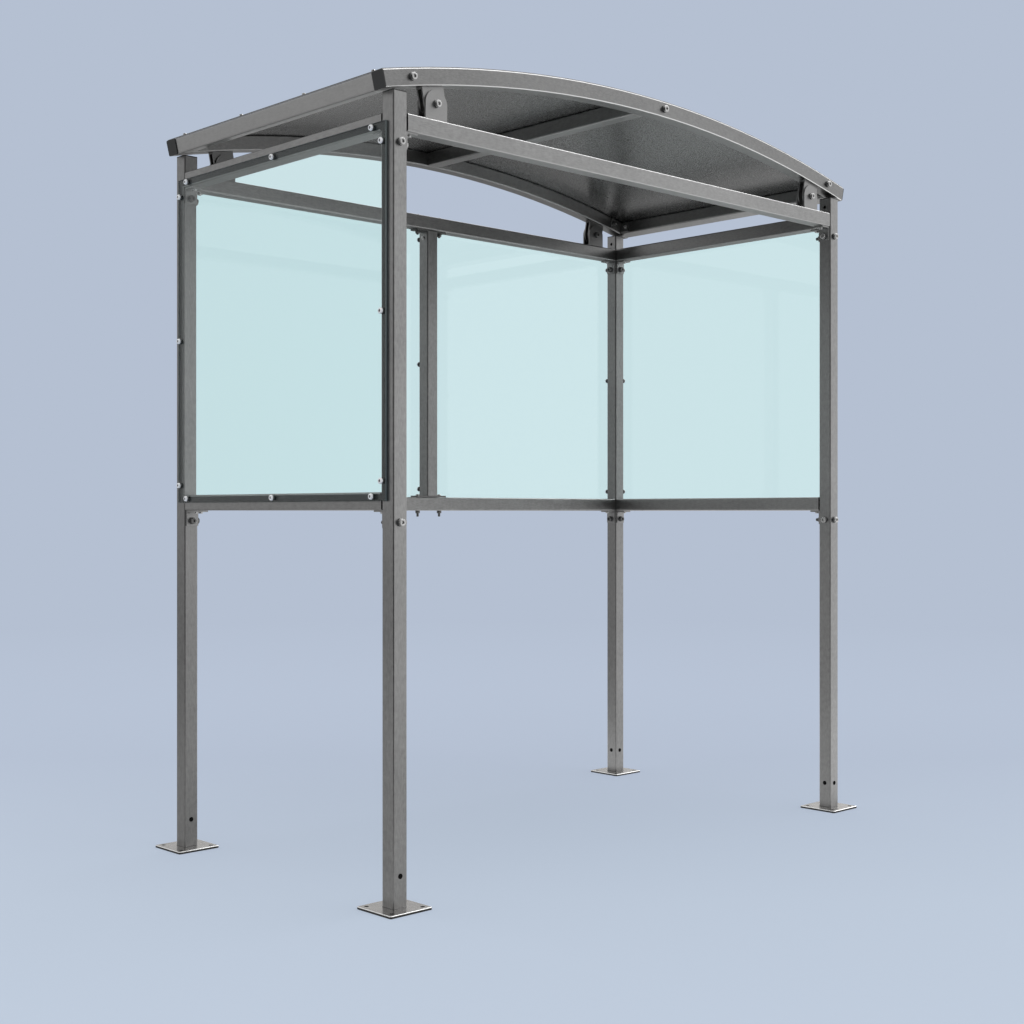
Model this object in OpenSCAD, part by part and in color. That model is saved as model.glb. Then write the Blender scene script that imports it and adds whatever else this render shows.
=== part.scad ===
// Smoking shelter: an open steel frame with clear upper panels on three sides and an arched roof.
// Origin: centre of the footprint, on the ground. +X runs right along the open front, -Y faces out of it.

/* [Frame] */
// Width over the posts
frame_w = 2130; // [1600:10:3000]
// Depth over the posts
frame_d = 1120; // [900:10:2000]
// Height of the top rails' upper faces above the ground
top_rail_top = 2205; // [1900:5:2600]
// Side of the square tube that the whole frame is made of
tube = 50; // [40:1:80]
// Wall of the tube
tube_wall = 3; // [1.5:0.5:4]
// Outside corner radius of the tube
tube_corner = 5; // [4:0.5:8]
// Thickness of the caps that close the tube ends
cap_t = 3; // [2:0.5:6]

/* [Base plates] */
// Side of each square base plate
plate_side = 150; // [120:1:220]
// Thickness of the base plates
plate_t = 8; // [5:1:15]
// Corner radius of the base plates
plate_corner = 6; // [2:1:15]
// Distance between the anchor holes of a plate
anchor_pitch = 110; // [90:1:118]
// Diameter of the anchor holes
anchor_d = 13; // [10:0.5:18]
// Height of the hole near each post's foot, above the plate
foot_hole_up = 88; // [60:1:200]
// Diameter of the hole near each post's foot
foot_hole_d = 13; // [8:0.5:20]

/* [Rails] */
// Height of the hole above each post's top rails
upper_hole_up = 24; // [10:1:30]
// Diameter of the hole above each post's top rails
upper_hole_d = 12; // [8:0.5:16]
// Height of the mid rails' upper faces above the ground
mid_rail_top = 1155; // [800:5:1500]
// Gap between the end of a rail and the post beside it
rail_gap = 3; // [1:0.5:6]
// Length of the shelf leg of an angle bracket, from the post
shelf_leg = 42; // [38:1:80]
// Length of the post leg of an angle bracket, down from the rail
post_leg = 50; // [45:1:90]
// Width of an angle bracket
angle_w = 40; // [30:1:48]
// Thickness of an angle bracket
angle_t = 5; // [3:0.5:8]
// Drop of the post bolt below the rail's underside
post_bolt_drop = 34; // [28:1:36]
// Distance of the shelf bolt from the post
shelf_bolt_out = 26; // [22:1:30]

/* [Mullion] */
// Length of the flanges on the mullion's ends, along the rail
flange_w = 140; // [110:1:200]
// Thickness of the mullion's flanges
flange_t = 6; // [4:0.5:10]
// Distance between the two bolts of a flange
flange_pitch = 106; // [86:1:106]

/* [Clear panels] */
// Thickness of the panels
panel_t = 8; // [5:0.5:12]
// Overlap of a panel on the tubes that carry it
panel_lap = 25; // [15:1:30]
// Gap between the two back panels, in front of the mullion
panel_joint = 4; // [2:0.5:10]
// Distance of a fixing from the panel edge beside it
fixing_in = 13; // [9:0.5:14]
// Distance of the first fixing from the panel corner, along the edge
fixing_end = 56; // [40:1:120]
// Diameter of the fixing holes in the panels
fixing_d = 9; // [6:0.5:12]

/* [Roof] */
// Rise of the arch from its ends to its crown
roof_rise = 131; // [100:1:160]
// Overhang of the arched beams beyond the posts at each side
roof_overhang = 38; // [10:1:45]
// Least gap between the posts' caps and the arched beams above them
post_clear = 3.5; // [2:0.5:20]
// Thickness of the roof sheet
sheet_t = 2; // [1:0.5:4]
// Set-back of the roof sheet's edges from the faces of the frame
sheet_inset = 4; // [0:0.5:20]
// Number of screws that hold the sheet to each purlin
screws_per_purlin = 4; // [3:1:6]
// Distance of the outermost screws from the front and back of the frame
screw_end = 72; // [65:1:150]

/* [Roof brackets] */
// Distance of a bracket's pivot bolt from the outside of the posts
bracket_in = 163; // [125:1:400]
// Width of the fork and tongue plates
ear_w = 80; // [60:1:110]
// Thickness of the fork and tongue plates
ear_t = 5; // [4:0.5:6]
// Clear space between the two ears of a fork
fork_gap = 26; // [24:1:28]
// Gap between a tongue's round end and the base of its fork
swing_gap = 1; // [0.5:0.5:10]
// Gap between a fork's ears and the top plate of its tongue
head_gap = 5; // [2:0.5:30]

/* [Cleats] */
// Length of a cleat's leg along the arched beam
cleat_arch_leg = 65; // [45:1:90]
// Length of a cleat's leg along the purlin
cleat_purlin_leg = 48; // [40:1:90]
// Distance of the arch bolt from the purlin's side
cleat_arch_bolt = 50; // [30:1:50]
// Distance of the purlin bolt from the arched beam's side
cleat_purlin_bolt = 30; // [25:1:34]

/* [Bolts] */
// Diameter of the frame bolts
bolt_d = 12; // [8:0.5:14]
// Diameter of the bolts' round heads
head_d = 20; // [16:0.5:22]
// Height of the bolts' round heads
head_h = 13; // [6:0.5:16]
// Diameter of the roof screws' heads
screw_head_d = 12; // [8:0.5:16]
// Height of the roof screws' heads
screw_head_h = 4; // [2:0.5:8]

/* [Hidden] */

// Clearances
bolt_clear = 0.5;      // a bolt in its hole
seat_gap = 0.3;        // flat pieces under or over the curved beams
fork_clear = 0.5;      // the tongue's plates inside the fork's ears
cut = 1;               // how far a cutting shape runs past the face it cuts
screw_bite = 3;        // how far a roof screw's shank reaches below the sheet
screw_shank_d = 5;     // a roof screw's shank
plug_clear = 0.4;      // a cap's plug inside its tube
plug_h = 12;           // how far a cap's plug reaches into its tube
seat_bolt_d = 10.5;    // hole for the bolt that holds a fork's base or a tongue's top

// Posts' centres and the holes of the frame bolts
post_x = frame_w / 2 - tube / 2;
post_y = frame_d / 2 - tube / 2;
foot_hole_z = plate_t + foot_hole_up;
bolt_hole_d = bolt_d + bolt_clear;

// Rails
top_rail_under = top_rail_top - tube;
mid_rail_under = mid_rail_top - tube;
rail_levels = [top_rail_under, mid_rail_under];
long_rail = frame_w - 2 * tube - 2 * rail_gap;
cross_rail = frame_d - 2 * tube - 2 * rail_gap;
mullion_len = top_rail_under - mid_rail_top - 2 * flange_t;

// Panels
panel_bottom = mid_rail_top - panel_lap;
panel_h = top_rail_under + panel_lap - panel_bottom;
side_panel_w = frame_d - 2 * (tube - panel_lap);
back_panel_w = (frame_w - 2 * (tube - panel_lap) - panel_joint) / 2;
// Distance of a panel's fixings from the axis of the tube behind them
lap_mid = tube / 2 - panel_lap + fixing_in;

// Roof brackets: the fork's base, its round end, the tongue and the beam stand on each other
ear_r = ear_w / 2;
pivot_x = frame_w / 2 - bracket_in;
pivot_z = top_rail_top + ear_t + swing_gap + ear_r;
pivot_up = pivot_z - top_rail_top;
tongue_up = ear_r + head_gap + ear_t;
fork_out = fork_gap + 2 * ear_t;
tongue_out = fork_gap - 2 * fork_clear;

// Arch: its outer arc runs through the crown and the two outer top corners of the beams,
// and its underside rests on the tongues
half_span = frame_w / 2 + roof_overhang;
arch_r = (half_span * half_span + roof_rise * roof_rise) / (2 * roof_rise);
arch_mid = arch_r - tube / 2;
pivot_r = arch_r - tube - seat_gap - tongue_up;
pivot_angle = asin(pivot_x / pivot_r);
arch_z = pivot_z - pivot_r * cos(pivot_angle);
arch_half = asin(half_span / arch_r);
tube_half_angle = arch_half - arc_angle(cap_t);
purlin_angle = tube_half_angle - arc_angle(tube / 2);
sheet_r = arch_r + seat_gap;
sheet_half = arch_half - arc_angle(sheet_inset);
purlin_len = frame_d - 2 * tube;
purlin_angles = [-purlin_angle, 0, purlin_angle];
// Each cleat's purlin, as an angle along the arch, and the side of the purlin that it stands on
cleat_places = [[-purlin_angle, 1], [0, 1], [purlin_angle, -1]];

// The angle that a length takes up along the outer arc
function arc_angle(length) = length / arch_r * 180 / PI;

// The posts are cut to a whole millimetre and end just below the arched beams
post_top = floor(arch_z + sqrt(pow(arch_r - tube, 2) - pow(frame_w / 2, 2)) - post_clear - cap_t);
post_len = post_top - plate_t;

// Screws of the roof sheet, along each purlin
screw_hole_d = screw_shank_d + bolt_clear;
screw_first = frame_d / 2 - screw_end;
screw_rows = [for (i = [0 : screws_per_purlin - 1]) screw_first * (2 * i / (screws_per_purlin - 1) - 1)];

// Holes in the tubes for the panels' fixings
fixing_pitch_y = side_panel_w / 2 - fixing_end;
fixing_pitch_x = back_panel_w / 2 - fixing_end;
fixing_pitch_z = panel_h / 2 - fixing_end;

$fn = 48;
arc_fn = 1440;

// A square of side s with round corners of radius r, about the origin
module round_square(s, r) {
    square([s, s - 2 * r], center = true);
    square([s - 2 * r, s], center = true);
    for (x = [-1, 1], y = [-1, 1]) {
        translate([x * (s / 2 - r), y * (s / 2 - r)]) circle(r = r);
    }
}

// Cross-section of the square tube
module tube_section() {
    difference() {
        round_square(tube, tube_corner);
        round_square(tube - 2 * tube_wall, max(tube_corner - tube_wall, 0.5));
    }
}

// A straight tube of length l along X, Y or Z, about the origin
module tube_x(l) {
    rotate([0, 90, 0]) linear_extrude(l, center = true) tube_section();
}
module tube_y(l) {
    rotate([90, 0, 0]) linear_extrude(l, center = true) tube_section();
}
module tube_z(l) {
    linear_extrude(l, center = true) tube_section();
}

// Round cutters and rods of diameter d along X, Y or Z, about the origin
module rod_x(d, l) {
    rotate([0, 90, 0]) cylinder(d = d, h = l, center = true);
}
module rod_y(d, l) {
    rotate([90, 0, 0]) cylinder(d = d, h = l, center = true);
}
module rod_z(d, l) {
    cylinder(d = d, h = l, center = true);
}

// A rod that cuts one wall of a tube: it starts at the tube's axis and runs out along the given side
module one_wall_x(d, side) {
    translate([side * (tube + cut) / 2, 0, 0]) rod_x(d, tube + cut);
}
module one_wall_y(d, side) {
    translate([0, side * (tube + cut) / 2, 0]) rod_y(d, tube + cut);
}
module one_wall_z(d, side) {
    translate([0, 0, side * (tube + cut) / 2]) rod_z(d, tube + cut);
}

// Places along one edge of a panel: both ends and the middle
function three(pitch) = [-pitch, 0, pitch];

// --- Posts -----------------------------------------------------------------------------------------

// sx is -1 at the left and 1 at the right, sy is -1 at the front and 1 at the back
module post(sx, sy) {
    post_fixings = [for (z = three(fixing_pitch_z)) panel_bottom + panel_h / 2 + z];
    color([0.55, 0.55, 0.54]) translate([sx * post_x, sy * post_y, 0]) difference() {
        translate([0, 0, plate_t + post_len / 2]) tube_z(post_len);
        translate([0, 0, foot_hole_z]) {
            rod_y(foot_hole_d, tube + 2 * cut);
            one_wall_x(foot_hole_d, -sx);
        }
        for (under = rail_levels) {
            translate([0, 0, under - post_bolt_drop]) {
                one_wall_x(bolt_hole_d, -sx);
                one_wall_y(bolt_hole_d, -sy);
            }
        }
        translate([0, 0, top_rail_top + upper_hole_up]) one_wall_x(upper_hole_d, -sx);
        if (sy < 0) {
            for (under = rail_levels) {
                translate([0, 0, under - post_bolt_drop]) one_wall_y(bolt_hole_d, sy);
            }
        }
        for (z = post_fixings) {
            translate([0, -sy * lap_mid, z]) one_wall_x(fixing_d, sx);
        }
        if (sy > 0) {
            for (z = post_fixings) {
                translate([-sx * lap_mid, 0, z]) one_wall_y(fixing_d, sy);
            }
        }
    }
}
module post_front_left() { post(-1, -1); }
module post_front_right() { post(1, -1); }
module post_back_left() { post(-1, 1); }
module post_back_right() { post(1, 1); }

// --- Base plates -----------------------------------------------------------------------------------

module base_plate(sx, sy) {
    color([0.62, 0.62, 0.61]) translate([sx * post_x, sy * post_y, 0]) difference() {
        linear_extrude(plate_t) round_square(plate_side, plate_corner);
        for (x = [-1, 1], y = [-1, 1]) {
            translate([x * anchor_pitch / 2, y * anchor_pitch / 2, plate_t / 2]) {
                rod_z(anchor_d, plate_t + 2 * cut);
            }
        }
    }
}
module base_plate_front_left() { base_plate(-1, -1); }
module base_plate_front_right() { base_plate(1, -1); }
module base_plate_back_left() { base_plate(-1, 1); }
module base_plate_back_right() { base_plate(1, 1); }

// --- Post caps: a lid that covers the tube's end and a plug that fits in it --------------------------

module post_cap(sx, sy) {
    color([0.12, 0.12, 0.12]) translate([sx * post_x, sy * post_y, post_top]) {
        linear_extrude(cap_t) round_square(tube, tube_corner);
        translate([0, 0, -plug_h]) linear_extrude(plug_h) {
            round_square(tube - 2 * tube_wall - 2 * plug_clear, max(tube_corner - tube_wall, 0.5));
        }
    }
}
module post_cap_front_left() { post_cap(-1, -1); }
module post_cap_front_right() { post_cap(1, -1); }
module post_cap_back_left() { post_cap(-1, 1); }
module post_cap_back_right() { post_cap(1, 1); }

// --- Rails -----------------------------------------------------------------------------------------

// A rail along X between two posts, with its shelf-bolt holes in the lower wall
module long_rail_at(sy, under) {
    translate([0, sy * post_y, under + tube / 2]) difference() {
        tube_x(long_rail);
        for (sx = [-1, 1]) {
            translate([sx * (frame_w / 2 - tube - shelf_bolt_out), 0, 0]) one_wall_z(bolt_hole_d, -1);
        }
        children();
    }
}

// A rail along Y between two posts, with its shelf-bolt holes and the fixing holes of a side panel;
// the panel covers the half of the rail on the side of lap: -1 for the lower half, 1 for the upper
module cross_rail_at(sx, under, lap) {
    color([0.5, 0.5, 0.49]) translate([sx * post_x, 0, under + tube / 2]) difference() {
        tube_y(cross_rail);
        for (sy = [-1, 1]) {
            translate([0, sy * (frame_d / 2 - tube - shelf_bolt_out), 0]) one_wall_z(bolt_hole_d, -1);
        }
        for (y = three(fixing_pitch_y)) {
            translate([0, y, lap * lap_mid]) one_wall_x(fixing_d, sx);
        }
    }
}

// The holes that a back rail gets for the two back panels and for one flange of the mullion
module back_rail_cuts(lap) {
    panel_mid = (panel_joint + back_panel_w) / 2;
    for (side = [-1, 1], x = three(fixing_pitch_x)) {
        translate([side * panel_mid + x, 0, lap * lap_mid]) one_wall_y(fixing_d, 1);
    }
    for (side = [-1, 1]) {
        translate([side * flange_pitch / 2, 0, 0]) rod_z(bolt_hole_d, tube + 2 * cut);
    }
}

// The holes in the upper wall of a front or back rail for the forks that stand on it
module fork_cuts() {
    for (side = [-1, 1]) {
        translate([side * pivot_x, 0, 0]) one_wall_z(seat_bolt_d, 1);
    }
}

module rail_top_front() {
    color([0.6, 0.6, 0.59]) long_rail_at(-1, top_rail_under) fork_cuts();
}
module rail_top_back() {
    color([0.5, 0.5, 0.49]) long_rail_at(1, top_rail_under) {
        fork_cuts();
        back_rail_cuts(-1);
    }
}
module rail_mid_back() {
    color([0.5, 0.5, 0.49]) long_rail_at(1, mid_rail_under) back_rail_cuts(1);
}
module rail_top_left() { cross_rail_at(-1, top_rail_under, -1); }
module rail_top_right() { cross_rail_at(1, top_rail_under, -1); }
module rail_mid_left() { cross_rail_at(-1, mid_rail_under, 1); }
module rail_mid_right() { cross_rail_at(1, mid_rail_under, 1); }

// --- Angle brackets that carry the rails' ends -------------------------------------------------------

// One bracket: the post's face is the plane X = 0, the rail's underside is the plane Z = 0
module angle_bracket() {
    difference() {
        union() {
            translate([0, -angle_w / 2, -angle_t]) cube([shelf_leg, angle_w, angle_t]);
            translate([0, -angle_w / 2, -post_leg]) cube([angle_t, angle_w, post_leg]);
        }
        translate([0, 0, -post_bolt_drop]) rod_x(bolt_hole_d, 4 * angle_t);
        translate([shelf_bolt_out, 0, 0]) rod_z(bolt_hole_d, 4 * angle_t);
    }
}

// All brackets of one post: under each rail that ends there
module angles(sx, sy) {
    long_levels = sy > 0 ? rail_levels : [top_rail_under]; // the front has no mid rail
    color([0.58, 0.58, 0.57]) {
        for (under = long_levels) {
            translate([sx * (post_x - tube / 2), sy * post_y, under]) {
                rotate([0, 0, sx > 0 ? 180 : 0]) angle_bracket();
            }
        }
        for (under = rail_levels) {
            translate([sx * post_x, sy * (post_y - tube / 2), under]) {
                rotate([0, 0, sy > 0 ? -90 : 90]) angle_bracket();
            }
        }
    }
}
module angles_front_left() { angles(-1, -1); }
module angles_front_right() { angles(1, -1); }
module angles_back_left() { angles(-1, 1); }
module angles_back_right() { angles(1, 1); }

// --- Mullion ---------------------------------------------------------------------------------------

module mullion() {
    color([0.55, 0.55, 0.54]) translate([0, post_y, mid_rail_top + flange_t + mullion_len / 2]) difference() {
        tube_z(mullion_len);
        for (side = [-1, 1], z = three(fixing_pitch_z)) {
            translate([side * (panel_joint / 2 + fixing_in), 0, z]) one_wall_y(fixing_d, 1);
        }
    }
}

// A flange that lies on the rail below it, or under the rail above it
module flange(z) {
    color([0.58, 0.58, 0.57]) translate([0, post_y, z + flange_t / 2]) difference() {
        cube([flange_w, tube - 2 * tube_corner, flange_t], center = true);
        for (side = [-1, 1]) {
            translate([side * flange_pitch / 2, 0, 0]) rod_z(bolt_hole_d, flange_t + 2 * cut);
        }
    }
}
module mullion_flange_lower() { flange(mid_rail_top); }
module mullion_flange_upper() { flange(top_rail_under - flange_t); }

// --- Clear panels ----------------------------------------------------------------------------------

// A panel of width w in the plane Y = 0, its outer face towards +Y, with holes along its four edges
module panel(w) {
    color([0.75, 0.9, 0.92, 0.4]) difference() {
        translate([-w / 2, 0, -panel_h / 2]) cube([w, panel_t, panel_h]);
        for (side = [-1, 1]) {
            for (x = three(w / 2 - fixing_end)) {
                translate([x, panel_t / 2, side * (panel_h / 2 - fixing_in)]) rod_y(fixing_d, 2 * panel_t);
            }
            for (z = three(fixing_pitch_z)) {
                translate([side * (w / 2 - fixing_in), panel_t / 2, z]) rod_y(fixing_d, 2 * panel_t);
            }
        }
    }
}
module side_panel(sx) {
    translate([sx * frame_w / 2, 0, panel_bottom + panel_h / 2]) rotate([0, 0, -sx * 90]) panel(side_panel_w);
}
module back_panel(sx) {
    translate([sx * (panel_joint + back_panel_w) / 2, frame_d / 2, panel_bottom + panel_h / 2]) {
        panel(back_panel_w);
    }
}
module panel_left() { side_panel(-1); }
module panel_right() { side_panel(1); }
module panel_back_left() { back_panel(-1); }
module panel_back_right() { back_panel(1); }

// --- Roof: everything along the arch is placed by an angle from the crown and a radius ---------------

// Moves children to an angle along the arch, with Z = 0 on the outer arc and pointing outwards
module on_arch(angle) {
    translate([0, 0, arch_z]) rotate([0, angle, 0]) translate([0, 0, arch_r]) children();
}

// Sweeps a cross-section, given as (distance from the arch's centre, Y), between two angles
module arch_sweep(from, to) {
    translate([0, 0, arch_z]) rotate([90, 0, 0]) rotate([0, 0, 90 - to]) {
        rotate_extrude(angle = to - from, $fn = arc_fn) children();
    }
}

// An arched beam with the holes of the cleats' bolts and of the tongues' bolts
module arch(sy) {
    color([0.58, 0.58, 0.57]) difference() {
        translate([0, sy * post_y, 0]) arch_sweep(-tube_half_angle, tube_half_angle) {
            translate([arch_mid, 0]) tube_section();
        }
        for (place = cleat_places) {
            translate([0, sy * post_y, 0]) on_arch(place[0]) {
                translate([place[1] * (tube / 2 + cleat_arch_bolt), 0, -tube / 2]) {
                    rod_y(bolt_hole_d, tube + 2 * cut);
                }
            }
        }
        for (side = [-1, 1]) {
            translate([0, sy * post_y, 0]) on_arch(side * pivot_angle) {
                translate([0, 0, -tube / 2]) one_wall_z(seat_bolt_d, -1);
            }
        }
    }
}
module arch_front() { arch(-1); }
module arch_back() { arch(1); }

module arch_caps() {
    color([0.12, 0.12, 0.12]) for (sy = [-1, 1]) {
        translate([0, sy * post_y, 0]) {
            arch_sweep(-arch_half, -tube_half_angle) translate([arch_mid, 0]) round_square(tube, tube_corner);
            arch_sweep(tube_half_angle, arch_half) translate([arch_mid, 0]) round_square(tube, tube_corner);
        }
    }
}

module purlin(angle, cleat_side) {
    color([0.5, 0.5, 0.49]) on_arch(angle) translate([0, 0, -tube / 2 - seat_gap]) difference() {
        tube_y(purlin_len);
        for (sy = [-1, 1]) {
            translate([0, sy * (purlin_len / 2 - cleat_purlin_bolt), 0]) one_wall_x(bolt_hole_d, cleat_side);
        }
        for (y = screw_rows) {
            translate([0, y, 0]) one_wall_z(screw_hole_d, 1);
        }
    }
}
module purlin_left() { purlin(-purlin_angle, 1); }
module purlin_crown() { purlin(0, 1); }
module purlin_right() { purlin(purlin_angle, -1); }

// One cleat: the purlin's side is the plane X = 0, the arched beam's side is the plane Y = 0
module cleat() {
    difference() {
        union() {
            translate([0, 0, -angle_w / 2]) cube([cleat_arch_leg, angle_t, angle_w]);
            translate([0, 0, -angle_w / 2]) cube([angle_t, cleat_purlin_leg, angle_w]);
        }
        translate([cleat_arch_bolt, 0, 0]) rod_y(bolt_hole_d, 4 * angle_t);
        translate([0, cleat_purlin_bolt, 0]) rod_x(bolt_hole_d, 4 * angle_t);
    }
}
module cleats(sy) {
    color([0.58, 0.58, 0.57]) for (place = cleat_places) {
        on_arch(place[0]) translate([place[1] * tube / 2, sy * purlin_len / 2, -tube / 2]) {
            mirror([place[1] > 0 ? 0 : 1, 0, 0]) mirror([0, sy > 0 ? 1 : 0, 0]) cleat();
        }
    }
}
module cleats_front() { cleats(-1); }
module cleats_back() { cleats(1); }

module roof_sheet() {
    color([0.5, 0.5, 0.5]) difference() {
        arch_sweep(-sheet_half, sheet_half) {
            translate([sheet_r, sheet_inset - frame_d / 2]) square([sheet_t, frame_d - 2 * sheet_inset]);
        }
        for (angle = purlin_angles, y = screw_rows) {
            on_arch(angle) translate([0, y, sheet_t / 2]) rod_z(screw_hole_d, 4 * sheet_t);
        }
    }
}

// Screws through the sheet into the purlins
module roof_screws() {
    color([0.8, 0.8, 0.8]) for (angle = purlin_angles, y = screw_rows) {
        on_arch(angle) translate([0, y, seat_gap + sheet_t]) {
            cylinder(d = screw_head_d, h = screw_head_h);
            translate([0, 0, -sheet_t - screw_bite]) cylinder(d = screw_shank_d, h = sheet_t + screw_bite);
        }
    }
}

// --- Roof brackets: a fork on the rail and a tongue under the arched beam, on one pivot bolt ----------

// A plate with a round end at the pivot, which is the origin, and a square end at height up
module ear(up, thickness) {
    rotate([90, 0, 0]) linear_extrude(thickness, center = true) difference() {
        union() {
            circle(r = ear_r);
            translate([-ear_r, min(up, 0)]) square([ear_w, abs(up)]);
        }
        circle(d = bolt_hole_d);
    }
}

// Two ears and the plate that joins them, over a width out, with the plate's far face at height up
module channel(up, out) {
    side = sign(up);
    difference() {
        union() {
            for (y = [-1, 1]) {
                translate([0, y * (out - ear_t) / 2, 0]) ear(up, ear_t);
            }
            translate([0, 0, up - side * ear_t / 2]) cube([ear_w, out, ear_t], center = true);
        }
        translate([0, 0, up]) rod_z(seat_bolt_d, 4 * ear_t);
    }
}
module forks(sy) {
    color([0.6, 0.6, 0.59]) for (side = [-1, 1]) {
        translate([side * pivot_x, sy * post_y, pivot_z]) channel(-pivot_up, fork_out);
    }
}
module tongues(sy) {
    color([0.56, 0.56, 0.55]) for (side = [-1, 1]) {
        translate([side * pivot_x, sy * post_y, pivot_z]) {
            rotate([0, side * pivot_angle, 0]) channel(tongue_up, tongue_out);
        }
    }
}
module roof_forks_front() { forks(-1); }
module roof_forks_back() { forks(1); }
module roof_tongues_front() { tongues(-1); }
module roof_tongues_back() { tongues(1); }

// A bolt through fork and tongue: a round head in front and a nut behind
module pivot_bolts() {
    color([0.8, 0.8, 0.8]) for (sx = [-1, 1], sy = [-1, 1]) {
        translate([sx * pivot_x, sy * post_y, pivot_z]) {
            rod_y(bolt_d, fork_out);
            for (end = [-1, 1]) {
                translate([0, end * (fork_out + head_h) / 2, 0]) rod_y(head_d, head_h);
            }
        }
    }
}

post_front_left();
post_front_right();
post_back_left();
post_back_right();
base_plate_front_left();
base_plate_front_right();
base_plate_back_left();
base_plate_back_right();
post_cap_front_left();
post_cap_front_right();
post_cap_back_left();
post_cap_back_right();
rail_top_front();
rail_top_back();
rail_top_left();
rail_top_right();
rail_mid_back();
rail_mid_left();
rail_mid_right();
angles_front_left();
angles_front_right();
angles_back_left();
angles_back_right();
mullion();
mullion_flange_lower();
mullion_flange_upper();
panel_left();
panel_right();
panel_back_left();
panel_back_right();
roof_forks_front();
roof_forks_back();
roof_tongues_front();
roof_tongues_back();
pivot_bolts();
arch_front();
arch_back();
arch_caps();
purlin_left();
purlin_crown();
purlin_right();
cleats_front();
cleats_back();
roof_sheet();
roof_screws();
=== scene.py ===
import math

import bmesh
import bpy
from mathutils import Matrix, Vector


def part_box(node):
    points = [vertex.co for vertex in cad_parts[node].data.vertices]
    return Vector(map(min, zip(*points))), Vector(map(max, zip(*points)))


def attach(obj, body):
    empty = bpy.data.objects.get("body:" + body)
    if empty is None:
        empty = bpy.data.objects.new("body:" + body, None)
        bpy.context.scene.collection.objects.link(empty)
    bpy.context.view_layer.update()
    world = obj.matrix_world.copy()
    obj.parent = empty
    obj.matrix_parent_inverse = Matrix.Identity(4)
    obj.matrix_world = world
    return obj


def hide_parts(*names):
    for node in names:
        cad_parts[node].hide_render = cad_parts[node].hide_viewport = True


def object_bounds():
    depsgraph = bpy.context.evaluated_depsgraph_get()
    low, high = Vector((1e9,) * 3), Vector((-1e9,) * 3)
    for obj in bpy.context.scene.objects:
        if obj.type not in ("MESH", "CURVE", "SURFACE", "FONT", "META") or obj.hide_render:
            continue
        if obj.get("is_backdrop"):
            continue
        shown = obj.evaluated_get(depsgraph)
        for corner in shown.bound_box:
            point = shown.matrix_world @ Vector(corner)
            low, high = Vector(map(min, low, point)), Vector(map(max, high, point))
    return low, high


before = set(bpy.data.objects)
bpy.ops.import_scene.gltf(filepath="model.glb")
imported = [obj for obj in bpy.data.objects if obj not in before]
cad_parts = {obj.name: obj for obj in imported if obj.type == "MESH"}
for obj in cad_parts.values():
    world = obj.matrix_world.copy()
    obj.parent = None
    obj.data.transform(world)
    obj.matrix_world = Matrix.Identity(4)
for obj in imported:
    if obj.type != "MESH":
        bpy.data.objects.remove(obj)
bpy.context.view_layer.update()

# places that the frame gives, all in metres
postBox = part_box("post_front_right")
tube = postBox[1].x - postBox[0].x
halfWidth = postBox[1].x
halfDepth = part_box("post_back_right")[1].y
postX = halfWidth - tube / 2
postY = halfDepth - tube / 2
innerX = halfWidth - tube
innerY = halfDepth - tube
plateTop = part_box("base_plate_front_right")[1].z
topUnder, topUpper = (corner.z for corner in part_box("rail_top_front"))
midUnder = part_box("rail_mid_back")[0].z
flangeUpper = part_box("mullion_flange_lower")[1].z
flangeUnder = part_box("mullion_flange_upper")[0].z

# the arches: rise and half width of the outer arc, then its radius and centre
# the end purlins sit a small turn, in radians, inside the arches' ends
arch = {"rise": 0.131, "endTurn": 0.0006, "halfSpan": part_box("arch_caps")[1].x,
        "crown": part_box("arch_front")[1].z}
arch["radius"] = (arch["halfSpan"] ** 2 + arch["rise"] ** 2) / (2 * arch["rise"])
arch["centre"] = arch["crown"] - arch["radius"]
arch["endPurlin"] = math.asin(arch["halfSpan"] / arch["radius"]) - tube / 2 / arch["radius"]
arch["endPurlin"] -= arch["endTurn"]


# a place on the arc at an angle from the crown, moved across it and down into it
def onArch(angle, across=0.0, down=0.0):
    radius = arch["radius"] - down
    return (radius * math.sin(angle) + across * math.cos(angle),
            arch["centre"] + radius * math.cos(angle) - across * math.sin(angle))


# small helpers for every node tree

def addNode(tree, kind, inputs=None, **settings):
    node = tree.nodes.new(kind)
    for name, value in settings.items():
        setattr(node, name, value)
    for key, value in (inputs or {}).items():
        if isinstance(value, bpy.types.NodeSocket):
            tree.links.new(value, node.inputs[key])
        else:
            node.inputs[key].default_value = value
    return node


def calc(tree, operation, a, b=0.0):
    return addNode(tree, "ShaderNodeMath", {0: a, 1: b}, operation=operation).outputs[0]


def calcVector(tree, operation, a, b=None, **more):
    inputs = {0: a} if b is None else {0: a, 1: b}
    inputs.update(more)
    return addNode(tree, "ShaderNodeVectorMath", inputs, operation=operation).outputs


def newMaterial(name):
    material = bpy.data.materials.new(name)
    material.use_nodes = True
    material.node_tree.nodes.clear()
    return material, material.node_tree


def closeMaterial(tree, shader):
    addNode(tree, "ShaderNodeOutputMaterial", {"Surface": shader})


def blendColour(tree, factor, low, high):
    return addNode(tree, "ShaderNodeMix", {0: factor, 6: low, 7: high}, data_type="RGBA").outputs[2]


def noise(tree, coords, scale, detail=3.0, roughness=0.55, stretch=None):
    if stretch:
        coords = addNode(tree, "ShaderNodeMapping", {"Vector": coords, "Scale": stretch}).outputs[0]
    return addNode(tree, "ShaderNodeTexNoise", {
        "Vector": coords, "Scale": scale, "Detail": detail, "Roughness": roughness}).outputs[0]


def span(tree, value, fromLow, fromHigh, toLow, toHigh):
    return addNode(tree, "ShaderNodeMapRange", {
        "Value": value, "From Min": fromLow, "From Max": fromHigh,
        "To Min": toLow, "To Max": toHigh}).outputs[0]


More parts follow.
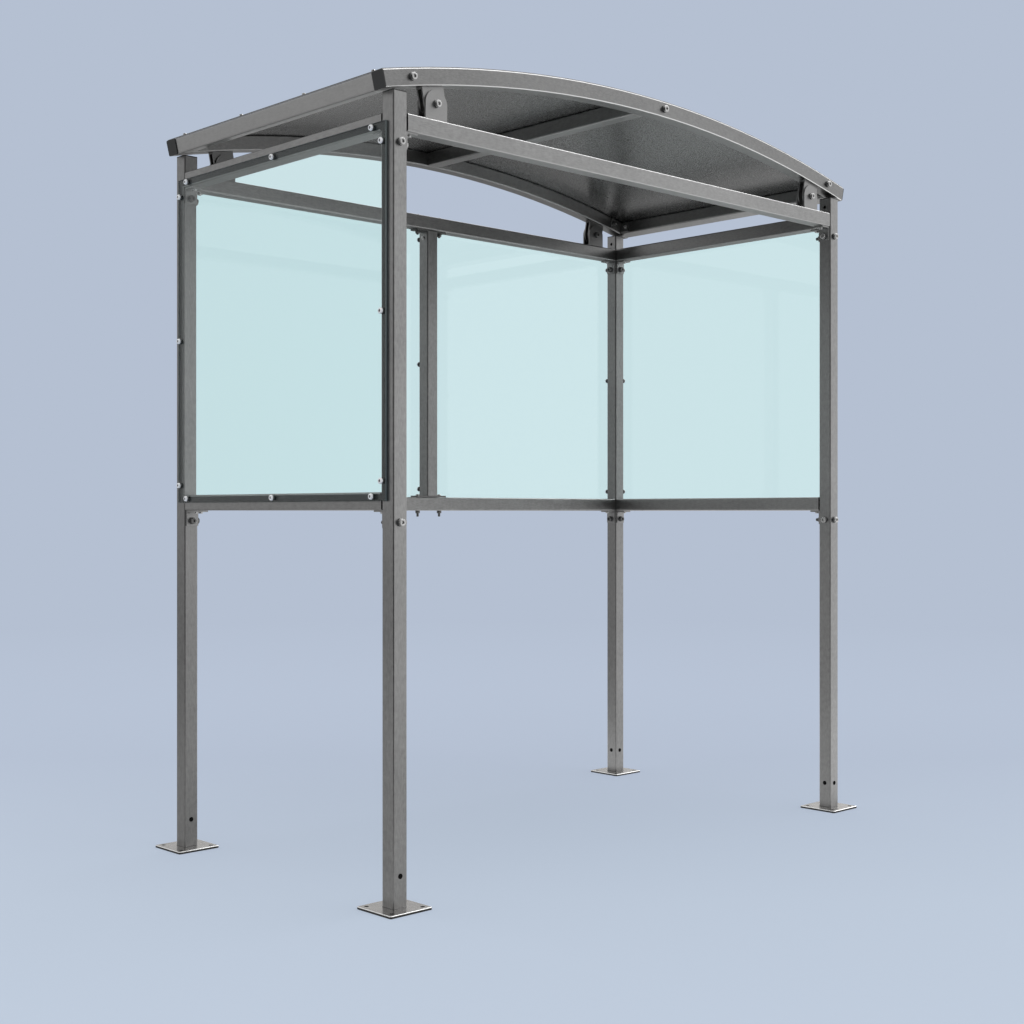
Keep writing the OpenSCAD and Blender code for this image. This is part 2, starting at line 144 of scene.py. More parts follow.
def mixed(tree, factor, first, second):
    return addNode(tree, "ShaderNodeMixShader", {
        0: factor, 1: first.outputs[0], 2: second.outputs[0]})


def grey(value, warm=0.0):
    return (value * (1 + warm), value, value * (1 - warm), 1.0)


# materials

# noise as (scale, detail, roughness), but the spots' scale is each metal's own; ranges as (from, to)
metalLook = {"spots": (4.0, 0.6), "clouds": (3.0, 2.0, 0.5), "streaks": (330.0, 3.0, 0.65),
             "shares": (0.3, 0.25, 0.45), "tones": (0.38, 0.62), "bumpStrength": 0.25,
             "sideFade": (0.05, 0.30), "sideRough": 0.3, "rimFade": (0.94, 0.99), "rimRough": 0.2,
             "cornerFacing": 0.6, "cornerFade": (0.18, 0.34), "cornerTurn": (-0.3, 0.3)}
spotRange = (0.3, 0.7)  # the part of a noise that roughness follows


# steel with small spots, broad clouds and rolled streaks
# sides: painted light on side faces, painted shade on the plates and a painted highlight on the roof
# sheet; the rim colour is a painted highlight on a plate's upper rim
# corners: painted shine on a long tube's rounded corners, lower and upper colour
def metal(name, dark, light, rough, grain=(1.0, 1.0, 1.0), metallic=1.0, mottle=70.0, bump=0.00002,
          sides=None, paintedRimHighlight=None, corners=None):
    material, tree = newMaterial(name)
    coords = addNode(tree, "ShaderNodeTexCoord").outputs["Object"]
    spots = noise(tree, coords, mottle, *metalLook["spots"])
    clouds = noise(tree, coords, *metalLook["clouds"])
    streaks = noise(tree, coords, *metalLook["streaks"], grain)
    tone = 0.0
    for layer, share in zip((spots, clouds, streaks), metalLook["shares"]):
        tone = calc(tree, "ADD", tone, calc(tree, "MULTIPLY", layer, share))
    colour = blendColour(tree, span(tree, tone, *metalLook["tones"], 0.0, 1.0), dark, light)
    roughness = span(tree, spots, *spotRange, *rough)
    facing = addNode(tree, "ShaderNodeNewGeometry").outputs["Normal"]
    # painted highlight: a long tube's rounded corners get a brighter colour
    if corners:  # the tube lies across, so a corner's normal has a steady share of Y
        parts = addNode(tree, "ShaderNodeSeparateXYZ", {0: facing}).outputs
        sideways = calc(tree, "ABSOLUTE", parts[1])
        offCorner = calc(tree, "ABSOLUTE", calc(tree, "SUBTRACT", sideways, metalLook["cornerFacing"]))
        shine = blendColour(tree, span(tree, parts[2], *metalLook["cornerTurn"], 0.0, 1.0), *corners)
        onCorner = span(tree, offCorner, *metalLook["cornerFade"], 1.0, 0.0)
        colour = blendColour(tree, onCorner, colour, shine)
    # painted light on the side faces: painted shade on the plates, a painted highlight on the roof
    # sheet
    if sides:
        upwards = addNode(tree, "ShaderNodeSeparateXYZ", {0: facing}).outputs[2]
        level = upwards if paintedRimHighlight else calc(tree, "ABSOLUTE", upwards)
        # painted highlight on a plate's upper rim, painted shade on its lower rim as on the sides
        if paintedRimHighlight:  # the upper rim shines and the lower one is as dark as the sides
            onRim = span(tree, upwards, *metalLook["rimFade"], 1.0, 0.0)
            colour = blendColour(tree, onRim, colour, paintedRimHighlight)
            rougher = calc(tree, "MULTIPLY", onRim, metalLook["rimRough"])
            roughness = calc(tree, "ADD", roughness, rougher)
        onSide = span(tree, level, *metalLook["sideFade"], 1.0, 0.0)
        colour = blendColour(tree, onSide, colour, sides)
        rougher = calc(tree, "MULTIPLY", onSide, metalLook["sideRough"])
        roughness = calc(tree, "ADD", roughness, rougher)
    height = addNode(tree, "ShaderNodeBump", {
        "Strength": metalLook["bumpStrength"], "Distance": bump,
        "Height": calc(tree, "ADD", streaks, spots)}).outputs[0]
    shader = addNode(tree, "ShaderNodeBsdfPrincipled", {
        "Base Color": colour, "Metallic": metallic, "Normal": height, "Roughness": roughness})
    closeMaterial(tree, shader.outputs[0])
    return material


print("materials")
rolled = (0.28, 0.36)  # how rough rolled tube is
# the streaks run along the tube
along = {"X": (0.15, 1.0, 1.0), "Y": (1.0, 0.15, 1.0), "Z": (1.0, 1.0, 0.15)}
tubeLook = {"dark": grey(0.295), "light": grey(0.41), "rough": rolled}
tubeSteel = {axis: metal("tubeSteel" + axis, grain=along[axis], **tubeLook) for axis in "YZ"}
# painted highlights on the front top rail's rounded corners, brightest on its upper edge
frontRailSteel = metal("frontRailSteel", grain=along["X"], corners=(grey(0.52), grey(0.98)),
                       **tubeLook)
# painted shade: darker steel for the back and right-hand members, which lie in shade
paintedShadeLook = {"dark": grey(0.245), "light": grey(0.34), "rough": rolled}  # for the back and right
paintedShadeSteel = {axis: metal("paintedShadeSteel" + axis, grain=along[axis], **paintedShadeLook) for axis in "XYZ"}
archLook = {"dark": grey(0.232), "light": grey(0.318), "rough": rolled, "grain": (0.25, 1.0, 1.0)}
archSteel = metal("archSteel", **archLook)
# painted highlights on the front arch's rounded corners, brightest on its lower edge
frontArchSteel = metal("frontArchSteel", corners=(grey(0.90), grey(0.50)), **archLook)
# painted light: lighter steel for the left purlin, which catches more light
paintedLightPurlinSteel = metal("paintedLightPurlinSteel", grey(0.46), grey(0.54), rolled, along["Y"])
bracketSteel = metal("bracketSteel", grey(0.33), grey(0.38), (0.36, 0.46))
# painted shade: darker steel for the back forks and tongues, which lie in shade
paintedShadeForkSteel = metal("paintedShadeForkSteel", grey(0.20), grey(0.25), (0.36, 0.46))
# painted shade on the plates' sides and a painted highlight on their upper rims
plateSteel = metal("plateSteel", grey(0.46, 0.03), grey(0.63, 0.03), (0.20, 0.25), mottle=35.0,
                   bump=0.00001, sides=grey(0.07), paintedRimHighlight=grey(0.95))
# dark weld steel: its darkness is painted shade, the contact shade where the posts meet the plates
weldSteel = metal("weldSteel", grey(0.12), grey(0.22), (0.40, 0.55))
# painted highlight: the roof sheet's edges are lighter
roofSteel = metal("roofSteel", grey(0.255), grey(0.275), (0.24, 0.29), mottle=160.0, bump=0.000002,
                  sides=grey(0.40))
nutSteel = metal("nutSteel", grey(0.14), grey(0.22), (0.30, 0.40))
boltSteel = metal("boltSteel", grey(0.56), grey(0.66), (0.22, 0.30), bump=0.00001)
brightZinc = metal("brightZinc", grey(0.86), grey(0.93), (0.30, 0.40), metallic=0.15, bump=0.00001)


plasticLook = {"grain": (1400.0, 2.0), "scuffs": (45.0, 4.0, 0.65), "strength": 0.3, "height": 0.0001}


def softPlastic(name, dark, light, rough, gloss=0.5):
    material, tree = newMaterial(name)
    coords = addNode(tree, "ShaderNodeTexCoord").outputs["Object"]
    grain = noise(tree, coords, *plasticLook["grain"])
    scuffs = noise(tree, coords, *plasticLook["scuffs"])
    bump = addNode(tree, "ShaderNodeBump", {
        "Strength": plasticLook["strength"], "Distance": plasticLook["height"],
        "Height": grain}).outputs[0]
    shader = addNode(tree, "ShaderNodeBsdfPrincipled", {
        "Base Color": blendColour(tree, scuffs, dark, light), "Normal": bump,
        "Specular IOR Level": gloss, "Roughness": span(tree, scuffs, *spotRange, *rough)})
    closeMaterial(tree, shader.outputs[0])
    return material


# the sheet itself is nearly clear: most of its colour is the stage's "through"
panelLook = {"tint": (0.93, 0.98, 0.982, 1.0), "shade": (0.72, 0.79, 0.79, 1.0),
             "rough": (0.0, 0.015), "ior": 1.36, "smears": (2.5, 3.0),
             "edgeDark": (0.10, 0.12, 0.12, 1.0), "edgeLight": (0.14, 0.165, 0.165, 1.0)}


# clear sheet: light rays pass it, so its shadow stays pale
def clearPanel():
    material, tree = newMaterial("clearPanel")
    coords = addNode(tree, "ShaderNodeTexCoord").outputs["Object"]
    smears = noise(tree, coords, *panelLook["smears"])
    glass = addNode(tree, "ShaderNodeBsdfPrincipled", {
        "Base Color": panelLook["tint"], "IOR": panelLook["ior"], "Transmission Weight": 1.0,
        "Roughness": span(tree, smears, *spotRange, *panelLook["rough"])})
    through = addNode(tree, "ShaderNodeBsdfTransparent", {"Color": panelLook["shade"]})
    path = addNode(tree, "ShaderNodeLightPath").outputs
    passing = calc(tree, "MAXIMUM", path["Is Shadow Ray"], path["Is Diffuse Ray"])
    closeMaterial(tree, mixed(tree, passing, glass, through).outputs[0])
    return material


capBlack = softPlastic("capBlack", grey(0.018), grey(0.035), (0.42, 0.58))
# near-black sleeves, partly painted shade beside the heads
sleeveAndShadeGrey = softPlastic("sleeveAndShadeGrey", grey(0.045), grey(0.065), (0.50, 0.65))
# painted shade: near-black for the discs that stand for the holes' dark insides
holeShadeBlack = softPlastic("holeShadeBlack", grey(0.003), grey(0.006), (0.80, 0.90), gloss=0.1)
sealantGrey = softPlastic("sealantGrey", grey(0.24), grey(0.29), (0.45, 0.60))
# black tape, partly painted shade where the panels lap the tubes
tapeAndShadeRubber = softPlastic("tapeAndShadeRubber", grey(0.020), grey(0.030), (0.60, 0.75))
aquaPanel = clearPanel()
sawnEdge = softPlastic("sawnEdge", panelLook["edgeDark"], panelLook["edgeLight"], (0.35, 0.50))

nodeMaterials = [  # a later row wins over an earlier one
    (("post_",), tubeSteel["Z"]),
    # painted shade: the back posts, the mullion, the back rails and the right top rail take the darker
    # steel
    (("post_back_", "mullion"), paintedShadeSteel["Z"]),
    (("post_cap_",), capBlack),
    (("rail_top_front",), frontRailSteel),
    (("rail_top_left", "rail_mid_", "purlin_"), tubeSteel["Y"]),
    (("rail_top_back", "rail_mid_back"), paintedShadeSteel["X"]),
    (("rail_top_right",), paintedShadeSteel["Y"]),
    (("purlin_left",), paintedLightPurlinSteel),
    (("arch_",), archSteel),
    (("arch_front",), frontArchSteel),
    (("arch_caps",), capBlack),
    (("angles_", "roof_forks", "roof_tongues", "cleats_"), bracketSteel),
    (("roof_forks_back", "roof_tongues_back"), paintedShadeForkSteel),
    (("mullion_flange",), nutSteel),
    (("base_plate_",), plateSteel),
    (("panel_",), aquaPanel),
    (("roof_sheet",), roofSteel),
    (("pivot_bolts", "roof_screws"), boltSteel)]
for name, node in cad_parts.items():
    for starts, material in nodeMaterials:
        if name.startswith(starts):
            finish = material
    node.data.materials.clear()
    node.data.materials.append(finish)


# fasteners: one tree for each kind, which sets it on every spot

def newTree(name, sizes):
    tree = bpy.data.node_groups.new(name, "GeometryNodeTree")
    tree.interface.new_socket("Spots", in_out="INPUT", socket_type="NodeSocketGeometry")
    for label, size in sizes.items():
        socket = tree.interface.new_socket(label, in_out="INPUT", socket_type="NodeSocketFloat")
        socket.default_value = size
    tree.interface.new_socket("Finish", in_out="INPUT", socket_type="NodeSocketMaterial")
    tree.interface.new_socket("Pieces", in_out="OUTPUT", socket_type="NodeSocketGeometry")
    return tree, tree.nodes.new("NodeGroupInput").outputs


# a disc grown upwards ring by ring; each ring is (radius, height, isHex)
def turned(tree, rings, around=36, sunk=0.0004):
    disc = addNode(tree, "GeometryNodeMeshCylinder", {
        "Vertices": around, "Radius": rings[0][0], "Depth": sunk})
    shape, top = disc.outputs["Mesh"], disc.outputs["Top"]
    place = addNode(tree, "GeometryNodeInputPosition").outputs[0]
    flat = calcVector(tree, "MULTIPLY", place, (1.0, 1.0, 0.0))[0]
    outwards = calcVector(tree, "NORMALIZE", flat)[0]
    parts = addNode(tree, "ShaderNodeSeparateXYZ", {0: place}).outputs
    turn = calc(tree, "FLOORED_MODULO", calc(tree, "ARCTAN2", parts[1], parts[0]), math.radians(60))
    fromFlat = calc(tree, "COSINE", calc(tree, "SUBTRACT", turn, math.radians(30)))
    sixSided = calc(tree, "DIVIDE", math.cos(math.radians(30)), fromFlat)
    for radius, height, isHex in rings:
        grown = addNode(tree, "GeometryNodeExtrudeMesh", {
            "Mesh": shape, "Selection": top, "Offset Scale": 0.0, "Individual": False}).outputs
        top = grown["Top"]
        reach = calc(tree, "MULTIPLY", radius, sixSided) if isHex else radius
        ring = calcVector(tree, "SCALE", outwards, Scale=reach)[0]
        lift = addNode(tree, "ShaderNodeCombineXYZ", {2: height}).outputs[0]
        spot = calcVector(tree, "ADD", ring, lift)[0]
        shape = addNode(tree, "GeometryNodeSetPosition", {
            "Geometry": grown["Mesh"], "Selection": top, "Position": spot}).outputs[0]
    return shape


# stands the shape on every spot, along its facing, with a fixed random spin
def standOnSpots(tree, outer, shape, seed):
    facing = addNode(tree, "GeometryNodeInputNamedAttribute", {
        "Name": "facing"}, data_type="FLOAT_VECTOR").outputs[0]
    turn = addNode(tree, "FunctionNodeAlignRotationToVector", {"Vector": facing}, axis="Z").outputs[0]
    angle = addNode(tree, "FunctionNodeRandomValue", {
        3: 2 * math.pi, "Seed": seed}, data_type="FLOAT").outputs[1]
    spin = addNode(tree, "FunctionNodeAxisAngleToRotation", {"Angle": angle}).outputs[0]
    turn = addNode(tree, "FunctionNodeRotateRotation", {
        "Rotation": turn, "Rotate By": spin}, rotation_space="LOCAL").outputs[0]
    placed = addNode(tree, "GeometryNodeInstanceOnPoints", {
        "Points": outer["Spots"], "Instance": shape, "Rotation": turn}).outputs[0]
    endTree(tree, outer, placed)


def endTree(tree, outer, shape):
    real = addNode(tree, "GeometryNodeRealizeInstances", {"Geometry": shape}).outputs[0]
    done = addNode(tree, "GeometryNodeSetMaterial", {
        "Geometry": real, "Material": outer["Finish"]}).outputs[0]
    addNode(tree, "NodeGroupOutput", {"Pieces": done})


def linkPiece(name, mesh):
    piece = bpy.data.objects.new(name, mesh)
    bpy.context.scene.collection.objects.link(piece)
    return piece


def spotMesh(name, spots, edges=()):
    mesh = bpy.data.meshes.new(name)
    mesh.from_pydata([spot for spot, facing in spots], edges, [])
    attribute = mesh.attributes.new("facing", "FLOAT_VECTOR", "POINT")
    for index, (spot, facing) in enumerate(spots):
        attribute.data[index].vector = facing
    return mesh


# runs the tree on a mesh of spots and keeps the outcome as a plain mesh
def grownPiece(name, tree, sizes, mesh, finish, replaced=(), smooth=35):
    piece = linkPiece(name, mesh)
    modifier = piece.modifiers.new("grow", "NODES")
    modifier.node_group = tree
    wanted = dict(sizes, Finish=finish)
    for socket in tree.interface.items_tree:
        if socket.in_out == "INPUT" and socket.name in wanted:
            modifier[socket.identifier] = wanted[socket.name]
    graph = bpy.context.evaluated_depsgraph_get()
    plain = bpy.data.meshes.new_from_object(piece.evaluated_get(graph))
    piece.modifiers.clear()
    piece.data = plain
    plain.shade_smooth()
    plain.set_sharp_from_angle(angle=math.radians(smooth))
    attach(piece, "root")
    if replaced:
        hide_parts(*replaced)


# a round head with a hexagon socket, on a thin washer
capHead = {"Washer Width": 0.0215, "Washer Height": 0.0012, "Head Width": 0.0205, "Head Height": 0.0058,
           "Rim": 0.0014, "Socket Width": 0.0104, "Socket Depth": 0.0045}
brokenEdge = {"washer": 0.0003, "socket": 0.0005, "sleeve": 0.0006, "rimSteps": 4}


def washerRings(tree, washer, base):
    return [(washer, calc(tree, "SUBTRACT", base, brokenEdge["washer"]), False),
            (calc(tree, "SUBTRACT", washer, brokenEdge["washer"]), base, False)]


def capHeadTree(seed):
    tree, outer = newTree("capHead", capHead)
    washer, base = calc(tree, "DIVIDE", outer["Washer Width"], 2.0), outer["Washer Height"]
    head, rim = calc(tree, "DIVIDE", outer["Head Width"], 2.0), outer["Rim"]
    socket = calc(tree, "DIVIDE", outer["Socket Width"], 2.0)
    top = calc(tree, "ADD", base, outer["Head Height"])
    rings = washerRings(tree, washer, base) + [(head, base, False)]
    for step in range(brokenEdge["rimSteps"]):
        angle = step * math.pi / 2 / (brokenEdge["rimSteps"] - 1)
        reach = calc(tree, "SUBTRACT", head, calc(tree, "MULTIPLY", rim, 1 - math.cos(angle)))
        height = calc(tree, "SUBTRACT", top, calc(tree, "MULTIPLY", rim, 1 - math.sin(angle)))
        rings.append((reach, height, False))
    rings.append((calc(tree, "ADD", socket, brokenEdge["socket"]), top, True))
    rings.append((socket, calc(tree, "SUBTRACT", top, brokenEdge["socket"]), True))
    rings.append((socket, calc(tree, "SUBTRACT", top, outer["Socket Depth"]), True))
    standOnSpots(tree, outer, turned(tree, rings), seed)
    return tree


# a six-sided nut or head on a washer; with a thread end it is a nut
hexNut = {"Washer Width": 0.024, "Washer Height": 0.0022, "Hex Width": 0.0212, "Hex Height": 0.0105,
          "Thread Width": 0.012, "Thread Length": 0.022}
hexLook = {"acrossFlats": 0.86, "chamfer": 0.1}  # as shares of the hexagon's width and height
threadLook = {"pitch": 0.00175, "depth": 0.0008, "point": 0.0008, "relief": 0.0004, "sunk": 0.0006,
              "start": 0.0002, "runOut": 0.0014, "turnSteps": 14, "ridgeSides": 3}


def hexTree(name, threaded, seed):
    tree, outer = newTree(name, hexNut)
    washer, base = calc(tree, "DIVIDE", outer["Washer Width"], 2.0), outer["Washer Height"]
    corner = calc(tree, "DIVIDE", outer["Hex Width"], 2.0)
    flatRadius = calc(tree, "MULTIPLY", corner, hexLook["acrossFlats"])
    top = calc(tree, "ADD", base, outer["Hex Height"])
    chamfer = calc(tree, "MULTIPLY", outer["Hex Height"], hexLook["chamfer"])
    rings = washerRings(tree, washer, base)
    rings += [(flatRadius, base, False), (corner, calc(tree, "ADD", base, chamfer), True),
              (corner, calc(tree, "SUBTRACT", top, chamfer), True), (flatRadius, top, False)]
    if threaded:
        thread = calc(tree, "DIVIDE", outer["Thread Width"], 2.0)
        core = calc(tree, "SUBTRACT", thread, threadLook["depth"])
        end = calc(tree, "ADD", base, outer["Thread Length"])
        rings += [(calc(tree, "ADD", thread, threadLook["relief"]), top, False),
                  (core, calc(tree, "SUBTRACT", top, threadLook["sunk"]), False),
                  (core, calc(tree, "SUBTRACT", end, threadLook["point"]), False),
                  (calc(tree, "SUBTRACT", core, threadLook["point"]), end, False)]
    shape = turned(tree, rings)
    if threaded:
        rise = calc(tree, "SUBTRACT", calc(tree, "SUBTRACT", end, top), threadLook["runOut"])
        coil = addNode(tree, "GeometryNodeCurveSpiral", {
            "Resolution": threadLook["turnSteps"], "Start Radius": core, "End Radius": core,
            "Height": rise, "Rotations": calc(tree, "DIVIDE", rise, threadLook["pitch"])}).outputs[0]
        ridge = addNode(tree, "GeometryNodeCurvePrimitiveCircle", {
            "Resolution": threadLook["ridgeSides"], "Radius": threadLook["depth"]}).outputs[0]
        ridges = addNode(tree, "GeometryNodeCurveToMesh", {
            "Curve": coil, "Profile Curve": ridge, "Fill Caps": True}).outputs[0]
        start = calc(tree, "SUBTRACT", top, threadLook["start"])
        lift = addNode(tree, "ShaderNodeCombineXYZ", {2: start}).outputs[0]
        ridges = addNode(tree, "GeometryNodeTransform", {
            "Geometry": ridges, "Translation": lift}).outputs[0]
        join = addNode(tree, "GeometryNodeJoinGeometry", {0: shape})
        tree.links.new(ridges, join.inputs[0])
        shape = join.outputs[0]
    standOnSpots(tree, outer, shape, seed)
    return tree


# the black rubber sleeve under a head; its black is also painted shade beside the head
rubberSleeve = {"Width": 0.0221, "Height": 0.0050}


def rubberSleeveTree(seed):
    tree, outer = newTree("rubberSleeve", rubberSleeve)
    wide, top = calc(tree, "DIVIDE", outer["Width"], 2.0), outer["Height"]
    bevel = brokenEdge["sleeve"]
    low, inner = calc(tree, "SUBTRACT", top, bevel), calc(tree, "SUBTRACT", wide, bevel)
    rings = [(wide, bevel, False), (wide, low, False), (inner, top, False)]
    standOnSpots(tree, outer, turned(tree, rings, around=28), seed)
    return tree


# the sleeves stand on the spots and the heads on the sleeves
def sleevedHeads(name, spots, sleeve, head, finish, replaced=()):
    sleeves = spotMesh(name + "Sleeves", spots)
    grownPiece(name + "_sleeves", sleeveTree, sleeve, sleeves, sleeveAndShadeGrey)
    raised = liftedSpots(spots, sleeve.get("Height", rubberSleeve["Height"]))
    grownPiece(name, capTree, head, spotMesh(name + "Heads", raised), finish, replaced)
    return raised


def liftedSpots(spots, lift):
    return [(tuple(Vector(spot) + Vector(facing) * lift), facing) for spot, facing in spots]


def placeHeads(name, head, spots):
    grownPiece(name, capTree, head, spotMesh(name + "Spots", spots), boltSteel)


def placeNuts(name, nut, spots):
    grownPiece(name, nutTree, nut, spotMesh(name + "Spots", spots), nutSteel)


print("fasteners")
capTree = capHeadTree(3)
sleeveTree = rubberSleeveTree(11)
nutTree = hexTree("hexNut", True, 5)
headTree = hexTree("hexHead", False, 7)

bracket = {"thick": 0.005, "boltDrop": 0.034, "shelfOut": 0.026}
levels = (topUnder, midUnder)
sides = [(sx, sy) for sx in (-1, 1) for sy in (-1, 1)]

# bolts through the posts into the brackets
postHeads, backHeads, postNuts, shelfHeads = [], [], [], []
for under in levels:
    z = under - bracket["boltDrop"]
    shelf = under - bracket["thick"]
    for sx in (-1, 1):
        postHeads.append(((sx * postX, -halfDepth, z), (0, -1, 0)))
        postNuts.append(((sx * postX, -innerY + bracket["thick"], z), (0, 1, 0)))
        backHeads.append(((sx * postX, innerY - bracket["thick"], z), (0, -1, 0)))
        for sy in (-1, 1):
            onBracket = sy == 1 or under == topUnder
            away = innerX - (bracket["thick"] if onBracket else 0.0)
            (backHeads if sy == 1 else postHeads).append(((sx * away, sy * postY, z), (-sx, 0, 0)))
            shelfHeads.append(((sx * postX, sy * (innerY - bracket["shelfOut"]), shelf), (0, 0, -1)))
            if onBracket:
                x = sx * (innerX - bracket["shelfOut"])
                shelfHeads.append(((x, sy * postY, shelf), (0, 0, -1)))
sleevedHeads("post_bolt_heads", postHeads, {}, {}, boltSteel)
# painted shade: the heads inside the back posts take the dark nut steel
sleevedHeads("back_bolt_heads", backHeads, {}, {}, nutSteel)
placeNuts("post_bolt_nuts", {"Thread Length": 0.022}, postNuts)
lowHead = {"Washer Width": 0.018, "Washer Height": 0.0012, "Head Width": 0.014, "Head Height": 0.0042,
           "Rim": 0.0016, "Socket Width": 0.006, "Socket Depth": 0.0025}
placeHeads("shelf_bolt_heads", lowHead, shelfHeads)

# bolts through the mullion's flanges and the back rails
flange = {"halfPitch": 0.053, "boltDrop": 0.024}
flangeHeads = [((-tube / 2, postY, flangeUnder - flange["boltDrop"]), (-1, 0, 0))]
longNuts, shortNuts = [], []
for sx in (-1, 1):
    x = sx * flange["halfPitch"]
    flangeHeads += [((x, postY, flangeUpper), (0, 0, 1)), ((x, postY, topUpper), (0, 0, 1))]
    longNuts.append(((x, postY, midUnder), (0, 0, -1)))
    shortNuts.append(((x, postY, flangeUnder), (0, 0, -1)))
placeHeads("flange_bolt_heads", lowHead, flangeHeads)
flangeNut = {"Washer Width": 0.019, "Washer Height": 0.0015, "Hex Width": 0.0185,
             "Hex Height": 0.0085, "Thread Width": 0.010, "Thread Length": 0.021}
placeNuts("flange_bolt_nuts", flangeNut, longNuts)
placeNuts("flange_bolt_nuts_upper", dict(flangeNut, **{"Thread Length": 0.013}), shortNuts)

# bolts of the roof: cleats to arches, cleats to purlins
cleat = {"across": 0.075, "fromArch": 0.030, "thick": 0.005, "deep": tube / 2}
archHeads, archNuts, purlinHeads = [], [], []
for angle, side in ((-arch["endPurlin"], 1), (0.0, 1), (arch["endPurlin"], -1)):
    x, z = onArch(angle, side * cleat["across"], cleat["deep"])
    legX, legZ = onArch(angle, side * (tube / 2 + cleat["thick"]), cleat["deep"])
    for sy in (-1, 1):
        archHeads.append(((x, sy * halfDepth, z), (0, sy, 0)))
        archNuts.append(((x, sy * (innerY - cleat["thick"]), z), (0, -sy, 0)))
        purlinHeads.append(((legX, sy * (innerY - cleat["fromArch"]), legZ),
                            (side * math.cos(angle), 0, -side * math.sin(angle))))
sleevedHeads("arch_bolt_heads", archHeads, {}, {}, boltSteel)
placeNuts("arch_bolt_nuts", {"Thread Length": 0.018}, archNuts)
placeHeads("purlin_bolt_heads", lowHead, purlinHeads)

# the four bolts that the roof hangs on
pivot = {"in": 0.163, "halfFork": 0.018}
pivotZ = sum(corner.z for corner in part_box("pivot_bolts")) / 2
pivotHeads, pivotNuts = {-1: [], 1: []}, []
for sx, sy in sides:
    x = sx * (halfWidth - pivot["in"])
    pivotHeads[sy].append(((x, sy * postY - pivot["halfFork"], pivotZ), (0, -1, 0)))
    pivotNuts.append(((x, sy * postY + pivot["halfFork"], pivotZ), (0, 1, 0)))
sleevedHeads("pivot_bolt_heads", pivotHeads[-1], {}, {}, boltSteel, replaced=["pivot_bolts"])
# painted shade: the back pivot heads take the dark nut steel
sleevedHeads("pivot_bolt_heads_back", pivotHeads[1], {}, {}, nutSteel, replaced=["pivot_bolts"])
placeNuts("pivot_bolt_nuts", {"Thread Length": 0.016}, pivotNuts)

# screws with sealing washers through the roof sheet into the purlins
roofScrew = {"outermost": 0.488, "sheetTop": 0.0023}
crownScrew = {"Washer Width": 0.0155, "Washer Height": 0.0010,
              "Hex Width": 0.0112, "Hex Height": 0.0029}
edgeScrew = dict(crownScrew, **{"Washer Height": 0.0022, "Hex Height": 0.0062})  # these stand higher
screwHeads = {-1: [], 0: [], 1: []}
for side, heads in screwHeads.items():
    angle = side * arch["endPurlin"]
    x, z = onArch(angle, 0.0, -roofScrew["sheetTop"])
    outwards = (math.sin(angle), 0, math.cos(angle))
    heads.extend(((x, share * roofScrew["outermost"], z), outwards) for share in (-1, -1 / 3, 1 / 3, 1))
grownPiece("roof_screw_heads", headTree, crownScrew, spotMesh("crownScrews", screwHeads[0]),
           boltSteel, replaced=["roof_screws"])
grownPiece("roof_screw_heads_outer", headTree, edgeScrew,
           spotMesh("edgeScrews", screwHeads[-1] + screwHeads[1]), boltSteel)

# fixings round the clear panels, three along each edge
panelFixing = {"in": 0.013, "end": 0.056, "socketDown": 0.0012}
fixingSleeve = {"Width": 0.0175, "Height": 0.0055}
fixingHead = {"Washer Width": 0.0178, "Washer Height": 0.0008, "Head Width": 0.0170,
              "Head Height": 0.0046, "Rim": 0.0030, "Socket Width": 0.0088, "Socket Depth": 0.0040}
fixingSocket = {"Width": 0.0083, "Height": 0.0005}
panels = {"panel_left": (-1, 0), "panel_right": (1, 0),  # which way each one faces
          "panel_back_left": (0, 1), "panel_back_right": (0, 1)}
fixings = []
for name, facing in panels.items():
    low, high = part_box(name)
    axis = 1 if facing[0] else 0
    outerFace = (high if sum(facing) > 0 else low)[1 - axis]
    middle, half = (low + high) / 2, (high - low) / 2
    for step in (-1, 0, 1):
        for edge in (-1, 1):
            for across, upwards in (
                    (edge * (half[axis] - panelFixing["in"]), step * (half.z - panelFixing["end"])),
                    (step * (half[axis] - panelFixing["end"]), edge * (half.z - panelFixing["in"]))):
                place = [0.0, 0.0, middle.z + upwards]
                place[axis], place[1 - axis] = middle[axis] + across, outerFace
                fixings.append((tuple(place), (facing[0], facing[1], 0)))
raised = sleevedHeads("panel_fixings", fixings, fixingSleeve, fixingHead, brightZinc)
# painted shade: a dark steel disc just inside each fixing's socket
mouth = fixingHead["Washer Height"] + fixingHead["Head Height"] - panelFixing["socketDown"]
grownPiece("panel_fixing_sockets", sleeveTree, fixingSocket,
           spotMesh("sockets", liftedSpots(raised, mouth)), nutSteel)

# black discs over the holes near the posts' feet: painted shade, the dark inside of each hole
holeShadeDisc = {"Width": 0.0152, "Height": 0.0010, "Above Plate": 0.088}
holeShadeSpots = []
for sx, sy in sides:
    middle = Vector((sx * postX, sy * postY, plateTop + holeShadeDisc["Above Plate"]))
    for facing in ((0, -1, 0), (0, 1, 0), (-sx, 0, 0)):
        holeShadeSpots.append((tuple(middle + Vector(facing) * tube / 2), facing))
grownPiece("hole_shade_discs", sleeveTree, holeShadeDisc, spotMesh("holeShadeSpots", holeShadeSpots), holeShadeBlack)


# the corner is the cut plates' own; steps are where a quarter circle is cut, as shares of its radius
rounding = {"corner": 0.006, "steps": (0.0, 0.5, math.sqrt(0.75)), "weld": 0.00001, "flat": 0.999}


